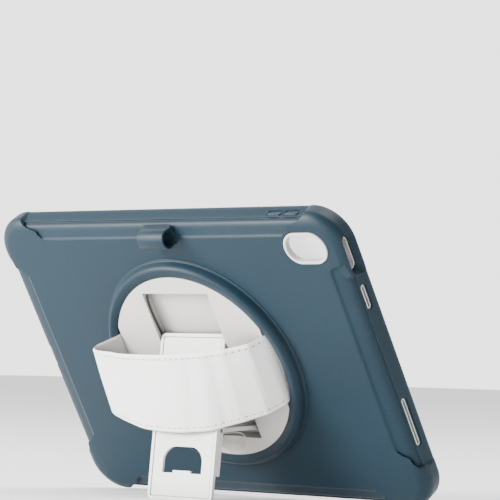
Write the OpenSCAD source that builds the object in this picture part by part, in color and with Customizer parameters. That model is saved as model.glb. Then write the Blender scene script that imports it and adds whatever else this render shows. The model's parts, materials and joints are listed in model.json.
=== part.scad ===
// Rugged tablet case with a turntable back, folding stand, hand strap and pen loop.
// It stands on its long edge, leaning back on the open stand. Millimetres, +Z up.

/* [Tablet] */
// Long side of the tablet that the case holds
tablet_l = 248.6; // [235:0.1:300]
// Short side of the tablet
tablet_s = 179.5; // [176:0.1:216]
// Thickness of the tablet
tablet_t = 7.0; // [5.8:0.1:9]
// Gap between tablet and inner shell, at each side
tablet_gap = 0.5; // [0.2:0.1:1]

/* [Shells] */
// Side wall of the hard inner shell
inner_wall = 2.4; // [2:0.1:3]
// Side wall of the soft back cover
cover_wall = 4.6; // [4.2:0.1:6]
// Thickness of the back cover's flat back
cover_back = 2.0; // [1.8:0.1:2.6]
// Thickness of the inner shell's floor
inner_back = 1.2; // [1:0.1:1.6]
// Radius of the case's corners, seen from the back
corner_r = 22; // [19:0.5:27]
// Rounding of the back edge
edge_r = 5; // [4:0.5:5]
// Rounding of the front lip
lip_r = 2; // [1.5:0.1:2.2]
// How far the lip stands in front of the front frame
lip_rise = 0.5; // [0.4:0.1:1]
// Thickness of the front frame's raised band
frame_t = 2.6; // [2.5:0.1:4]
// Overlap of the front frame over the tablet's edge
frame_overlap = 5.2; // [4:0.1:7]
// Thickness of the clear screen film
film_t = 0.3; // [0.3:0.05:0.5]
// Gap between two shells that fit in each other
fit_gap = 0.2; // [0.1:0.05:0.3]

/* [Grip recesses] */
// How far a long side's grip recess reaches in from the case's edge
recess_in_long = 12; // [11.5:0.1:13]
// How far a short side's grip recess reaches in from the case's edge
recess_in_short = 14.8; // [13:0.1:16]
// Half length of the long side's recess at its inner line
recess_long = 88; // [70:1:92]
// Half length of the short side's recess at its inner line
recess_short = 63; // [60:1:64]
// How much longer a long side's recess is at the edge, at each end
flare_long = 19; // [10:1:22]
// How much longer a short side's recess is at the edge, at each end
flare_short = 8; // [4:1:12]

/* [Camera window] */
// Length of the window in the back cover
window_l = 30; // [26:0.5:34]
// Width of the window in the back cover
window_s = 20; // [17:0.5:22]
// Window centre from the case's short side
window_from_side = 26.2; // [24:0.1:30]
// Window centre from the case's top side
window_from_top = 20.5; // [18:0.1:24]
// Wall of the camera bezel
bezel_wall = 1.8; // [1.2:0.1:2.4]
// How far the bezel stands out of the back
bezel_rise = 0.6; // [0.3:0.1:1]

/* [Pen loop] */
// Radius of the loop's bore
pen_bore_r = 4.7; // [4.2:0.05:5.6]
// Wall of the loop
loop_wall = 1.3; // [1:0.1:1.6]
// Length of the loop
loop_l = 20; // [16:0.1:32]
// Loop centre along the case, from the middle
loop_at = 2.2; // [-20:0.1:20]
// Pen axis from the case's top side
pen_from_top = 10.9; // [10.5:0.1:12]
// Length of the trough that the pen lies in
pen_l = 181; // [150:1:184]

/* [Turntable] */
// Radius of the turntable's disc
disc_r = 61; // [58:0.5:68]
// Height of the disc above the back
disc_rise = 4.5; // [4.5:0.1:6]
// Radial width of the ring around the disc
ring_w = 9.75; // [9.5:0.05:11]
// Height of the ring above the disc
ring_over_disc = 1.4; // [0.8:0.1:2]
// Running gap between disc and ring
run_gap = 0.25; // [0.2:0.05:0.35]
// Depth of the stand's pocket below the disc's face
pocket_d = 6.5; // [6.4:0.1:6.6]
// Rim of the disc above the pocket's upper end
pocket_rim = 10.8; // [10.5:0.1:14]
// Rim of the disc below the pocket's lower end
pocket_foot_rim = 12.5; // [12:0.1:14]

/* [Stand] */
// Width of the stand's plate
stand_w = 49.6; // [44:0.1:50]
// Angle between the open stand and the case's back
stand_angle = 38; // [34:0.5:40]
// Turn of the arm for each degree that the stand turns
fold_ratio = 1.6; // [1.6:0.01:1.6]
// Part of the folded length that lies between the stand's own two pins
link_share = 0.589; // [0.589:0.001:0.589]
// Thickness of the stand's plate
plate_t = 2.0; // [1.8:0.1:2]
// Depth of the stand's side flanges
flange_h = 5.5; // [5:0.1:5.6]
// How far short of the stand's foot its side flanges end
flange_end = 15.5; // [8:0.1:20]
// Width of the stand's finger hole
finger_w = 30.2; // [22:0.1:32]
// Height of the stand's finger hole
finger_h = 15.5; // [12:0.1:24]
// Height of the finger hole above the stand's foot
finger_up = 16; // [10:0.1:20]
// Radius of the pivot pins
pin_r = 1.1; // [1:0.05:1.2]
// Clearance of a pin in its hole
pin_gap = 0.06; // [0.04:0.01:0.08]

/* [Hand strap] */
// Width of the strap
strap_w = 44; // [36:0.5:44]
// Thickness of the strap
strap_t = 1.6; // [1.2:0.1:1.8]
// How far the strap's upper edge stands off the back
strap_high_top = 28; // [22:0.5:34]
// How far the strap's lower edge stands off the back
strap_high_low = 41; // [41:0.5:46]

/* [Hidden] */
$fn = 96;
eps = 0.01;
teal = [0.20, 0.34, 0.41];
pale_grey = [0.80, 0.79, 0.77];
strap_white = [0.93, 0.92, 0.91];
steel = [0.70, 0.70, 0.72];

// Case frame: X along the long side, Y up the short side, Z out of the back. Z is 0 on the flat back.
side_build = tablet_gap + inner_wall + fit_gap + cover_wall;
case_l = tablet_l + 2 * side_build;
case_s = tablet_s + 2 * side_build;
floor_z = -cover_back - 0.1 - inner_back;
tablet_back_z = floor_z - fit_gap;
tablet_front_z = tablet_back_z - tablet_t;
frame_back_z = tablet_front_z - fit_gap - film_t - 0.1;
frame_front_z = frame_back_z - frame_t;
case_t = -(frame_front_z - lip_rise);
cavity_in = side_build - tablet_gap;
window_in = side_build + frame_overlap;
skirt_t = 1.1;
shell_chamfer = 2.6;
skirt_top_z = frame_back_z + 3.8;

ring_in_r = disc_r + run_gap;
ring_out_r = ring_in_r + ring_w;
ring_top_z = disc_rise + ring_over_disc;
flange_r = disc_r + 2.4;
flange_cavity_r = flange_r + 0.3;
spigot_r = flange_cavity_r + 3.2;
flange_low_z = -0.7;
flange_high_z = 0.8;
retainer_top_z = flange_low_z - 0.2;
retainer_in_r = disc_r - 2.6;
disc_low_z = 1.2;
strap_gap = 0.35;
chord_x = sqrt(pow(ring_in_r - 0.45, 2) - pow(strap_w / 2, 2)) - strap_t - strap_gap;

pocket_z = disc_rise - pocket_d;
pocket_top_y = disc_r - pocket_rim;
pocket_low_y = -(disc_r - pocket_foot_rim);
pocket_w = stand_w + 0.8;
end_gap = 0.4;
stand_l = pocket_top_y - pocket_low_y - 2 * end_gap;
pin_inset = 3;
pin_drop = 3.9;
pin_z = disc_rise - pin_drop;
guide_closed_y = pocket_top_y - end_gap - pin_inset;
arm_pivot_y = pocket_low_y + 5.3;
folded_span = guide_closed_y - arm_pivot_y;
pin_spacing = folded_span * link_share;
arm_l = folded_span - pin_spacing;
arm_angle = stand_angle * fold_ratio;

// Where the three pins of the stand are when the stand has turned by a
function mid_pin(a) = [arm_pivot_y + arm_l * cos(a * fold_ratio), pin_z + arm_l * sin(a * fold_ratio)];
function guide_pin(a) = mid_pin(a) + pin_spacing * [cos(a), -sin(a)];
function foot_edge(a) = guide_pin(a) + (stand_l - pin_inset) * [-cos(a), sin(a)]
                        + (pin_drop - plate_t) * [sin(a), cos(a)];

// The lean is the angle at which the cover's rounded edge and the stand's foot meet one floor.
foot = foot_edge(stand_angle);
lean_run = foot[0] + case_s / 2 - edge_r;
lean_rise = foot[1] + edge_r;
lean = atan2(lean_rise, lean_run) - asin(edge_r / norm([lean_run, lean_rise]));
ground_z = -(case_s / 2 - edge_r) * sin(lean) + edge_r * cos(lean) - edge_r;
pen_y = case_s / 2 - pen_from_top;
pen_z = 4.0;
loop_r = pen_bore_r + loop_wall;
loop_foot_z = -1.25;
loop_foot_w = 2 * loop_r - 1.6;
trough_r = 6.2;
trough_d = 0.9;
back_y = -pen_y * cos(lean) - pen_z * sin(lean) - loop_r;
front_y = (case_s / 2 - lip_r) * cos(lean) + (case_t - lip_r) * sin(lean) + lip_r;

button_l = 10;
button_h = 3.6;
button_z = (tablet_back_z + tablet_front_z) / 2;
button_flange = 0.5;
button_up_x = case_l / 2 - 33.6;
button_down_x = button_up_x - button_l - 2 * button_flange - 1;
button_proud = 0.7;
recess_ridge_in = 3.0;
recess_ridge_z = -5.6;
recess_wall_in = 0.3;
recess_foot_z = -11.2;
slot_in = recess_ridge_in + (recess_wall_in - recess_ridge_in) * (button_z - recess_ridge_z)
          / (recess_foot_z - recess_ridge_z);
bore_slack = 0.02;

// Puts a piece from the case frame into the standing pose.
module stand_up() {
    translate([0, -(back_y + front_y) / 2, -ground_z])
        rotate([180 - lean, 0, 0]) children();
}

// Arc from angle a0 to a1 around c, as points
function arc(c, r, a0, a1, n) = [for (i = [0:n])
    c + r * [cos(a0 + (a1 - a0) * i / n), sin(a0 + (a1 - a0) * i / n)]];

// A slab l by s with corner radius r. Its edge follows the outline points [in, z],
// where in counts from the edge.
module edged_slab(l, s, r, outline) {
    for (sx = [-1, 1], sy = [-1, 1])
        translate([sx * (l / 2 - r), sy * (s / 2 - r), 0])
            rotate([0, 0, sx > 0 ? (sy > 0 ? 0 : -90) : (sy > 0 ? 90 : 180)])
                rotate_extrude(angle = 90)
                    polygon(concat([[0, outline[len(outline) - 1][1]], [0, outline[0][1]]],
                                   [for (p = outline) [r - p[0], p[1]]]));
    for (side = [0:3]) {
        run = side % 2 == 0 ? l : s;
        reach = side % 2 == 0 ? s / 2 : l / 2;
        rotate([0, 0, 90 * side]) translate([-(run / 2 - r), 0, 0])
            rotate([90, 0, 90]) linear_extrude(run - 2 * r)
                polygon(concat([[0, outline[len(outline) - 1][1]], [0, outline[0][1]]],
                               [for (p = outline) [reach - p[0], p[1]]]));
    }
}

// A plain slab with rounded corners, from z0 to z1
module slab(l, s, r, z0, z1) {
    translate([0, 0, z0]) linear_extrude(z1 - z0) rounded_rect(l, s, r);
}

module rounded_rect(l, s, r) {
    square([l - 2 * r, s], center = true);
    square([l, s - 2 * r], center = true);
    for (sx = [-1, 1], sy = [-1, 1]) translate([sx * (l / 2 - r), sy * (s / 2 - r)]) circle(r);
}

module pill(l, s) {
    square([l - s, s], center = true);
    for (sx = [-1, 1]) translate([sx * (l - s) / 2, 0]) circle(s / 2);
}

// Outline of a grip recess that reaches recess_in from the case's edge, as [in, z]
function recess_outline(recess_in) =
    [[recess_in, 0], [recess_in - 0.5, -0.7], [9, -1.0], [6.5, -1.4], [4.9, -2.3], [3.6, -3.9],
     [recess_ridge_in, recess_ridge_z], [recess_wall_in, recess_foot_z], [recess_wall_in, -case_t + 2],
     [recess_wall_in + 0.5, -case_t + 0.7], [recess_wall_in + 1.6, -case_t]];

module recess_cut(reach, recess_in, half_in, flare) {
    past = 2;
    half_out = half_in + flare * (recess_in + past) / recess_in;
    intersection() {
        translate([-half_out, 0, 0]) rotate([90, 0, 90]) linear_extrude(2 * half_out)
            polygon(concat([[reach - recess_in, past]],
                [for (p = recess_outline(recess_in)) [reach - p[0], p[1]]],
                           [[reach - recess_wall_in - 1.6, -case_t - past], [reach + past, -case_t - past],
                            [reach + past, past]]));
        translate([0, 0, -case_t - past]) linear_extrude(case_t + 2 * past)
            polygon([[-half_in, reach - recess_in], [half_in, reach - recess_in],
                     [half_out, reach + past], [-half_out, reach + past]]);
    }
}

// Slots in the short sides: [centre along the side, length, height, outer relief,
// how far in the bar stands]
right_slots = [[70, 20, 6.6, 3.2, 4.4], [42, 15.3, 3.6, 0, slot_in], [-40.3, 31.3, 3.6, 0, slot_in]];
left_slots = [[0, 15, 7, 1.5, 3.4], [42, 15.3, 3.6, 0, slot_in], [-42, 15.3, 3.6, 0, slot_in]];

module side_slot(side, s, grow) {
    deep = side_build + 6;
    translate([side * case_l / 2, s[0], button_z]) rotate([90, 0, 90])
        translate([0, 0, -deep / 2 - side * deep / 4]) linear_extrude(deep)
            pill(s[1] + 2 * grow, s[2] + 2 * grow);
}

module side_slots(grow) {
    for (s = right_slots) side_slot(1, s, grow);
    for (s = left_slots) side_slot(-1, s, grow);
}

// Long funnel outside a slot for a button or a plug
module slot_relief(side, s) {
    straight = s[1] - s[2];
    if (s[3] > 0) intersection() {
        hull() for (y = [-straight / 2, straight / 2])
            translate([side * (case_l / 2 - s[4] - 0.2), s[0] + y, button_z]) rotate([0, side * 90, 0])
                cylinder(h = s[4] + 1, r1 = s[2] / 2, r2 = s[2] / 2 + s[3]);
        translate([0, 0, -case_t + 3]) linear_extrude(case_t - 4)
            square([2 * case_l, 2 * case_s], center = true);
    }
}

module window_at() {
    translate([case_l / 2 - window_from_side, case_s / 2 - window_from_top, 0]) children();
}

module button_holes(grow) {
    for (x = [button_up_x, button_down_x])
        translate([x, case_s / 2 + 1, button_z]) rotate([90, 0, 0])
            linear_extrude(cover_wall + 1.1) pill(button_l + 2 * grow, button_h + 2 * grow);
}

// ---- Case ----
module back_cover() {
    outline = concat(arc([edge_r, -edge_r], edge_r, 90, 180, 6),
                     arc([lip_r, -case_t + lip_r], lip_r, 180, 270, 4));
    color(teal) stand_up() difference() {
        edged_slab(case_l, case_s, corner_r, outline);
        edged_slab(case_l - 2 * cover_wall, case_s - 2 * cover_wall, corner_r - cover_wall,
                   [[shell_chamfer, -cover_back], [0, -cover_back - shell_chamfer], [0, -case_t - 1]]);
        for (a = [0, 180]) rotate([0, 0, a])
            recess_cut(case_s / 2, recess_in_long, recess_long, flare_long);
        for (a = [90, 270]) rotate([0, 0, a])
            recess_cut(case_l / 2, recess_in_short, recess_short, flare_short);
        cylinder(h = 10, r = spigot_r + 0.1, center = true);
        window_at() translate([0, 0, -5]) linear_extrude(10) pill(window_l, window_s);
        translate([-pen_l / 2 + 1.5, pen_y, trough_r - trough_d]) rotate([0, 90, 0])
            cylinder(h = pen_l, r = trough_r);
        translate([loop_at - loop_l / 2 - 0.1, pen_y - loop_foot_w / 2 - 0.1, loop_foot_z - 0.05])
            cube([loop_l + 0.2, loop_foot_w + 0.2, 10]);
        side_slots(0);
        for (s = right_slots) slot_relief(1, s);
        for (s = left_slots) slot_relief(-1, s);
        button_holes(fit_gap);
        flange_pockets();
    }
}

// Room on the cover's inside for the buttons' flanges
module flange_pockets() {
    for (x = [button_up_x, button_down_x])
        translate([x, case_s / 2 - cover_wall + 0.7, button_z]) rotate([90, 0, 0])
            linear_extrude(2) pill(button_l + 2 * button_flange + 0.4, button_h + 2 * button_flange + 0.4);
}

// Raised surround of a slot, which stands in the cover's slot
module slot_boss(side, s) {
    out_x = case_l / 2 - s[4];
    boss_l = out_x - (case_l / 2 - side_build);
    translate([side * (out_x - boss_l / 2), s[0], button_z]) rotate([90, 0, 90])
        linear_extrude(boss_l, center = true) pill(s[1] - 2 * fit_gap, s[2] - 2 * fit_gap);
}

module inner_shell() {
    out = cover_wall + fit_gap;
    rim_out = out + skirt_t + fit_gap;
    l = case_l - 2 * out;
    s = case_s - 2 * out;
    r = corner_r - out;
    color(pale_grey) stand_up() difference() {
        union() {
            edged_slab(l, s, r, [[shell_chamfer, -cover_back - 0.1], [0, -cover_back - 0.1 - shell_chamfer],
                                 [0, skirt_top_z - 0.3]]);
            slab(case_l - 2 * rim_out, case_s - 2 * rim_out, corner_r - rim_out, frame_back_z + 0.1,
                skirt_top_z);
            for (s = right_slots) slot_boss(1, s);
            for (s = left_slots) slot_boss(-1, s);
        }
        slab(tablet_l + 2 * tablet_gap, tablet_s + 2 * tablet_gap, corner_r - cavity_in + 2,
             frame_back_z - 1, floor_z);
        cylinder(h = 20, r = spigot_r + 0.3, center = true);
        window_at() translate([0, 0, -6]) linear_extrude(10) pill(window_l, window_s);
        side_slots(-1);
        inner_button_reach();
    }
}

// Opening through the inner shell for the buttons' plungers
module inner_button_reach() {
    for (x = [button_up_x, button_down_x])
        translate([x, case_s / 2 - cover_wall + 1, button_z]) rotate([90, 0, 0])
            linear_extrude(inner_wall + 3) pill(button_l - 0.6, button_h - 0.2);
}

module camera_bezel() {
    color(pale_grey) stand_up() window_at() translate([0, 0, floor_z]) difference() {
        linear_extrude(-floor_z + bezel_rise) pill(window_l - 2 * 0.1, window_s - 2 * 0.1);
        translate([0, 0, -1]) linear_extrude(20) pill(window_l - 2 * bezel_wall, window_s - 2 * bezel_wall);
    }
}

module ring_surround() {
    w = ring_out_r - ring_in_r;
    top = ring_top_z;
    color(teal) stand_up() difference() {
        rotate_extrude($fn = 144) polygon([
            [flange_cavity_r, retainer_top_z], [spigot_r, retainer_top_z], [spigot_r, 0], [ring_out_r, 0],
            [ring_out_r, 0.5], [ring_out_r - 0.4, 0.9], [ring_out_r - 1.1, 1.0],
            [ring_out_r - 1.7, top * 0.28], [ring_out_r - 2.2, top * 0.48], [ring_out_r - 3.0, top * 0.70],
            [ring_out_r - 4.1, top * 0.87], [ring_out_r - 5.3, top * 0.97], [ring_in_r + w * 0.36, top],
            [ring_in_r + w * 0.22, top * 0.97], [ring_in_r + w * 0.10, top * 0.89],
                [ring_in_r + 0.25, top * 0.79],
            [ring_in_r, top * 0.70], [ring_in_r, flange_high_z + 0.2],
                [flange_cavity_r, flange_high_z + 0.2]]);
        screw_ring() translate([0, 0, retainer_top_z - 1])
            cylinder(h = 4.6, r = 0.9 + bore_slack, $fn = 24);
        pen_clearance();
    }
}

// Room that a wide ring leaves for the pen and its loop
module pen_clearance() {
    translate([-pen_l / 2, pen_y, pen_z]) rotate([0, 90, 0]) cylinder(h = pen_l, r = pen_bore_r);
    translate([loop_at - loop_l / 2 - fit_gap, pen_y - loop_r - fit_gap, -1])
        cube([loop_l + 2 * fit_gap, 2 * (loop_r + fit_gap), pen_z + loop_r + 2]);
}

module screw_ring() {
    for (i = [0:5]) rotate([0, 0, 60 * i + 30]) translate([(flange_cavity_r + spigot_r) / 2, 0, 0])
        children();
}

module turntable_retainer() {
    color(pale_grey) stand_up() difference() {
        translate([0, 0, floor_z]) cylinder(h = retainer_top_z - floor_z, r = spigot_r - 0.1, $fn = 144);
        cylinder(h = 20, r = retainer_in_r, center = true, $fn = 144);
        screw_ring() {
            cylinder(h = 20, r = 0.9 + bore_slack, center = true, $fn = 24);
            translate([0, 0, floor_z - 1]) cylinder(h = 2.1, r = 1.55, $fn = 32);
        }
    }
}

// A pan-head screw, head down at z 0 and shank up
module screw(head_r, head_h, shank_r, shank_l) {
    difference() {
        union() {
            cylinder(h = head_h, r = head_r, $fn = 32);
            translate([0, 0, head_h - eps]) cylinder(h = shank_l, r = shank_r, $fn = 24);
        }
        for (a = [0, 90]) rotate([0, 0, a]) translate([0, 0, head_h * 0.25])
            cube([head_r * 1.2, head_r * 0.28, head_h], center = true);
    }
}

module retainer_screws() {
    color(steel) stand_up() screw_ring() translate([0, 0, floor_z + 0.1]) screw(1.5, 0.95, 0.9, 4.6);
}

module pen_loop() {
    color(teal) stand_up() difference() {
        union() {
            translate([loop_at - loop_l / 2, pen_y, pen_z]) rotate([0, 90, 0])
                cylinder(h = loop_l, r = loop_r);
            translate([loop_at - loop_l / 2, pen_y - loop_foot_w / 2, loop_foot_z])
                cube([loop_l, loop_foot_w, pen_z - loop_foot_z]);
        }
        translate([loop_at - loop_l, pen_y, pen_z]) rotate([0, 90, 0])
            cylinder(h = 2 * loop_l, r = pen_bore_r);
        translate([loop_at - loop_l, pen_y - 2 * loop_r, loop_foot_z - 10])
            cube([2 * loop_l, 4 * loop_r, 10]);
    }
}

module volume_button(x) {
    top_y = case_s / 2 - slot_in + button_proud;
    seat_y = case_s / 2 - cover_wall + 0.65;
    color(teal) stand_up() translate([x, 0, button_z]) {
        translate([0, top_y, 0]) rotate([90, 0, 0]) linear_extrude(top_y - seat_y + 0.1)
            pill(button_l, button_h);
        translate([0, seat_y, 0]) rotate([90, 0, 0])
            linear_extrude(0.3) pill(button_l + 2 * button_flange, button_h + 2 * button_flange);
        translate([0, seat_y, 0]) rotate([90, 0, 0])
            linear_extrude(seat_y - tablet_s / 2 - tablet_gap - 0.1) pill(button_l - 1.4, button_h - 1);
    }
}

module volume_up_button() { volume_button(button_up_x); }
module volume_down_button() { volume_button(button_down_x); }

// ---- Front frame, which lifts off ----
module front_frame() {
    out = cover_wall + fit_gap;
    band = 3;
    window_l2 = case_l - 2 * window_in;
    window_s2 = case_s - 2 * window_in;
    window_r = 7;
    color(pale_grey) stand_up() difference() {
        union() {
            edged_slab(case_l - 2 * out, case_s - 2 * out, corner_r - out,
                       [[0, frame_back_z], [0, frame_front_z + 0.6], [0.6, frame_front_z],
                           [band, frame_front_z],
                        [band + 0.7, frame_front_z + 0.9], [window_in - out, frame_front_z + 1.5]]);
            slab(case_l - 2 * out, case_s - 2 * out, corner_r - out, frame_back_z - 0.01,
                skirt_top_z - 0.5);
        }
        slab(window_l2, window_s2, window_r, frame_front_z - 1, frame_front_z + 10);
        slab(case_l - 2 * out - 2 * skirt_t, case_s - 2 * out - 2 * skirt_t, corner_r - out - skirt_t,
             frame_back_z, 0);
        slab(window_l2 + 2 * film_seat, window_s2 + 2 * film_seat, window_r + 2,
            frame_back_z - film_t - tape_t, 0);
        skirt_slots();
    }
}
film_seat = 3.4;
tape_t = 0.2;

// Notches in the skirt that leave the slots and buttons clear
module skirt_slots() {
    for (s = right_slots) skirt_notch(1, s);
    for (s = left_slots) skirt_notch(-1, s);
    translate([(button_up_x + button_down_x) / 2, case_s / 2 - cover_wall, (frame_back_z + 0.2)])
        translate([-13, -4, 0]) cube([26, 5, 8]);
}

module skirt_notch(side, s) {
    translate([side * (case_l / 2 - cover_wall), s[0], frame_back_z + 4.2])
        cube([8, s[1] + 2, 8], center = true);
}

module screen_film() {
    color([0.85, 0.92, 0.95, 0.35]) stand_up()
        slab(case_l - 2 * window_in + 2 * film_seat - 0.4, case_s - 2 * window_in + 2 * film_seat - 0.4,
            8.5,
             frame_back_z - film_t, frame_back_z);
}

module film_tape() {
    l = case_l - 2 * window_in + 2 * film_seat - 0.4;
    s = case_s - 2 * window_in + 2 * film_seat - 0.4;
    color("black") stand_up() difference() {
        slab(l, s, 8.5, frame_back_z - film_t - tape_t, frame_back_z - film_t);
        slab(l - 5, s - 5, 6.5, -50, 0);
    }
}

// ---- Turntable ----
// Slot that the guide pin runs in, swept from the folded to the open stand
module guide_track(grow) {
    n = 12;
    path = [for (i = [-1:n]) guide_pin(stand_angle * i / n)];
    across = [for (i = [0:n + 1]) let (d = path[min(i + 1, n + 1)] - path[max(i - 1, 0)])
        [-d[1], d[0]] / norm(d)];
    r = pin_r + grow;
    ends = [path[1], path[n + 1]];
    rotate([90, 0, 90]) {
        translate([0, 0, -stand_w / 2 - 3]) linear_extrude(stand_w + 6)
            polygon(concat([for (i = [1:n + 1]) path[i] + r * across[i]],
                           [for (i = [n + 1:-1:1]) path[i] - r * across[i]]));
        for (e = ends) translate([e[0], e[1], -stand_w / 2 - 3])
            cylinder(h = stand_w + 6, r = r - eps, $fn = 32);
    }
}

module disc_plate() {
    difference() {
        translate([0, 0, disc_low_z]) cylinder(h = disc_rise - disc_low_z, r = disc_r, $fn = 144);
        for (sx = [-1, 1]) translate([sx * (chord_x + 50), 0, 0]) cube([100, 200, 40], center = true);
    }
}

module turntable_disc() {
    well = 1.2;
    low = pocket_z - 0.8;
    track_w = stand_w + 8.4;
    track_low_y = guide_pin(stand_angle)[0] - 5;
    track_high_y = guide_closed_y + 2.4;
    color(pale_grey) stand_up() difference() {
        union() {
            disc_plate();
            translate([-pocket_w / 2 - well, pocket_low_y - well, low])
                cube([pocket_w + 2 * well, pocket_top_y - pocket_low_y + 2 * well, disc_low_z - low + 1]);
            translate([-track_w / 2, track_low_y, low])
                cube([track_w, track_high_y - track_low_y, disc_low_z - low + 1]);
        }
        translate([-pocket_w / 2, pocket_low_y, pocket_z])
            cube([pocket_w, pocket_top_y - pocket_low_y, 20]);
        guide_track(0.15);
        translate([0, pocket_low_y + 2.6, disc_rise + 11]) sphere(r = 17, $fn = 96);
        translate([0, arm_pivot_y, pin_z]) rotate([0, 90, 0])
            cylinder(h = pocket_w + 1.6, r = pin_r + bore_slack, center = true, $fn = 32);
        for (p = base_screw_places) translate([p[0], p[1], disc_low_z - 1])
            cylinder(h = 3.2, r = 0.9 + bore_slack, $fn = 24);
    }
}

base_screw_places = [for (sx = [-1, 1], sy = [-1, 1]) [sx * (pocket_w / 2 + 12), sy * 38]];

module turntable_base() {
    well = 1.2;
    low = floor_z + 1.0;
    track_w = stand_w + 8.4;
    color(pale_grey) stand_up() difference() {
        union() {
            translate([0, 0, flange_low_z])
                cylinder(h = flange_high_z - flange_low_z, r = flange_r, $fn = 144);
            translate([0, 0, low])
                cylinder(h = disc_low_z - 0.05 - low, r = retainer_in_r - 0.3, $fn = 144);
        }
        translate([-track_w / 2 - 0.3, pocket_low_y - well - 0.3, -20])
            cube([track_w + 0.6, pocket_top_y - pocket_low_y + 2 * well + 0.6, 40]);
        for (sx = [-1, 1]) strap_room(sx);
        for (p = base_screw_places) translate([p[0], p[1], low - 1]) {
            cylinder(h = 20, r = 0.9 + bore_slack, $fn = 24);
            cylinder(h = 2, r = 1.85, $fn = 32);
        }
        rivet_places() cylinder(h = 20, r = 1.0 + bore_slack, center = true, $fn = 24);
    }
}

tail_low_z = flange_low_z;
tail_t = 1.05;
tail_in_x = pocket_w / 2 + 6;
module strap_room(sx) {
    x0 = tail_in_x - 0.6;
    x1 = chord_x + strap_gap + strap_t + 0.4;
    translate([sx > 0 ? x0 : -x1, -strap_w / 2 - 0.4, tail_low_z - 0.02])
        cube([x1 - x0, strap_w + 0.8, 20]);
}

module rivet_places() {
    for (sx = [-1, 1], y = [-15, 0, 15]) translate([sx * (tail_in_x + 2.6), y, 0]) children();
}

module base_screws() {
    color(steel) stand_up() for (p = base_screw_places)
        translate([p[0], p[1], floor_z + 1.05]) screw(1.8, 0.9, 0.9, 3.2);
}

// ---- Hand strap ----
// Half of a Catmull-Rom segment basis, for a smooth line through chosen points
function spline(p, i, t) =
    let (a = p[max(i - 1, 0)], b = p[i], c = p[i + 1], d = p[min(i + 2, len(p) - 1)])
    0.5 * (2 * b + (c - a) * t + (2 * a - 5 * b + 4 * c - d) * t * t + (3 * b - a - 3 * c + d) * t * t * t);

// Middle line of the strap at one of its edges, [x, z], from the left slot to the right slot
function strap_line(high, bulge) = let (x = chord_x + strap_t / 2 + strap_gap) [
    [-x, tail_low_z], [-x, 2.4], [-x - 0.1, 5.2], [-x - 3.4, 9.4], [-x - bulge, 0.56 * high],
        [-x - bulge + 4, 0.78 * high],
    [-0.62 * x, 0.95 * high], [-0.20 * x, high], [0.20 * x, 0.98 * high], [0.56 * x, 0.87 * high],
    [0.86 * x, 0.52 * high], [x + 0.6, 10], [x + 0.1, 5.2], [x, 2.4], [x, tail_low_z]];

strap_steps = 5;
function strap_path(high, bulge) = let (p = strap_line(high, bulge))
    concat([for (i = [0:len(p) - 2], k = [0:strap_steps - 1]) spline(p, i, k / strap_steps)],
        [p[len(p) - 1]]);

function strap_side(path) = [for (i = [0:len(path) - 1])
    let (d = path[min(i + 1, len(path) - 1)] - path[max(i - 1, 0)]) [-d[1], d[0]] / norm(d)];

module strap_band() {
    top = strap_path(strap_high_top, 10);
    low = strap_path(strap_high_low, 11.5);
    n = len(top);
    nt = strap_side(top);
    nl = strap_side(low);
    half = strap_t / 2;
    pts = concat([for (i = [0:n - 1]) let (q = top[i] + half * nt[i]) [q[0], strap_w / 2, q[1]]],
                 [for (i = [0:n - 1]) let (q = top[i] - half * nt[i]) [q[0], strap_w / 2, q[1]]],
                 [for (i = [0:n - 1]) let (q = low[i] - half * nl[i]) [q[0], -strap_w / 2, q[1]]],
                 [for (i = [0:n - 1]) let (q = low[i] + half * nl[i]) [q[0], -strap_w / 2, q[1]]]);
    strips = [for (i = [0:n - 2], k = [0:3]) let (a = k * n + i, b = ((k + 1) % 4) * n + i) each
        [[a, b + 1, a + 1], [a, b, b + 1]]];
    polyhedron(points = pts, faces = concat(strips, [[0, 2 * n, n], [0, 3 * n, 2 * n]],
        [[n - 1, 2 * n - 1, 3 * n - 1], [n - 1, 3 * n - 1, 4 * n - 1]]), convexity = 10);
}

module hand_strap() {
    color(strap_white) stand_up() difference() {
        union() {
            strap_band();
            for (sx = [-1, 1]) {
                x1 = chord_x + strap_gap + strap_t;
                translate([sx > 0 ? tail_in_x : -x1, -strap_w / 2, tail_low_z])
                    cube([x1 - tail_in_x, strap_w, tail_t]);
            }
        }
        rivet_places() cylinder(h = 20, r = 1.0 + bore_slack, center = true, $fn = 24);
    }
}

module strap_clamp_bars() {
    color(steel) stand_up() difference() {
        for (sx = [-1, 1]) translate([sx * (tail_in_x + 2.6) - 2.4, -strap_w / 2 + 1,
            tail_low_z + tail_t + 0.02])
            cube([4.8, strap_w - 2, 0.65]);
        rivet_places() cylinder(h = 20, r = 1.0 + bore_slack, center = true, $fn = 24);
    }
}

module strap_rivets() {
    low = floor_z + 1.0;
    color(steel) stand_up() rivet_places() translate([0, 0, low + 0.1])
        cylinder(h = disc_low_z - low - 0.2, r = 1.0, $fn = 24);
}

// ---- Stand ----
// Stand's own frame: origin on the guide pin, -Y down the plate, Z out of its face
module on_stand() {
    g = guide_pin(stand_angle);
    translate([0, g[0], g[1]]) rotate([-stand_angle, 0, 0]) children();
}

// Arm's own frame: origin on its pivot, +Y towards the stand's pivot
module on_arm() {
    translate([0, arm_pivot_y, pin_z]) rotate([arm_angle, 0, 0]) children();
}

module x_pin(l, r, at_y, at_z) {
    translate([0, at_y, at_z]) rotate([0, 90, 0]) cylinder(h = l, r = r, center = true, $fn = 32);
}

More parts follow.
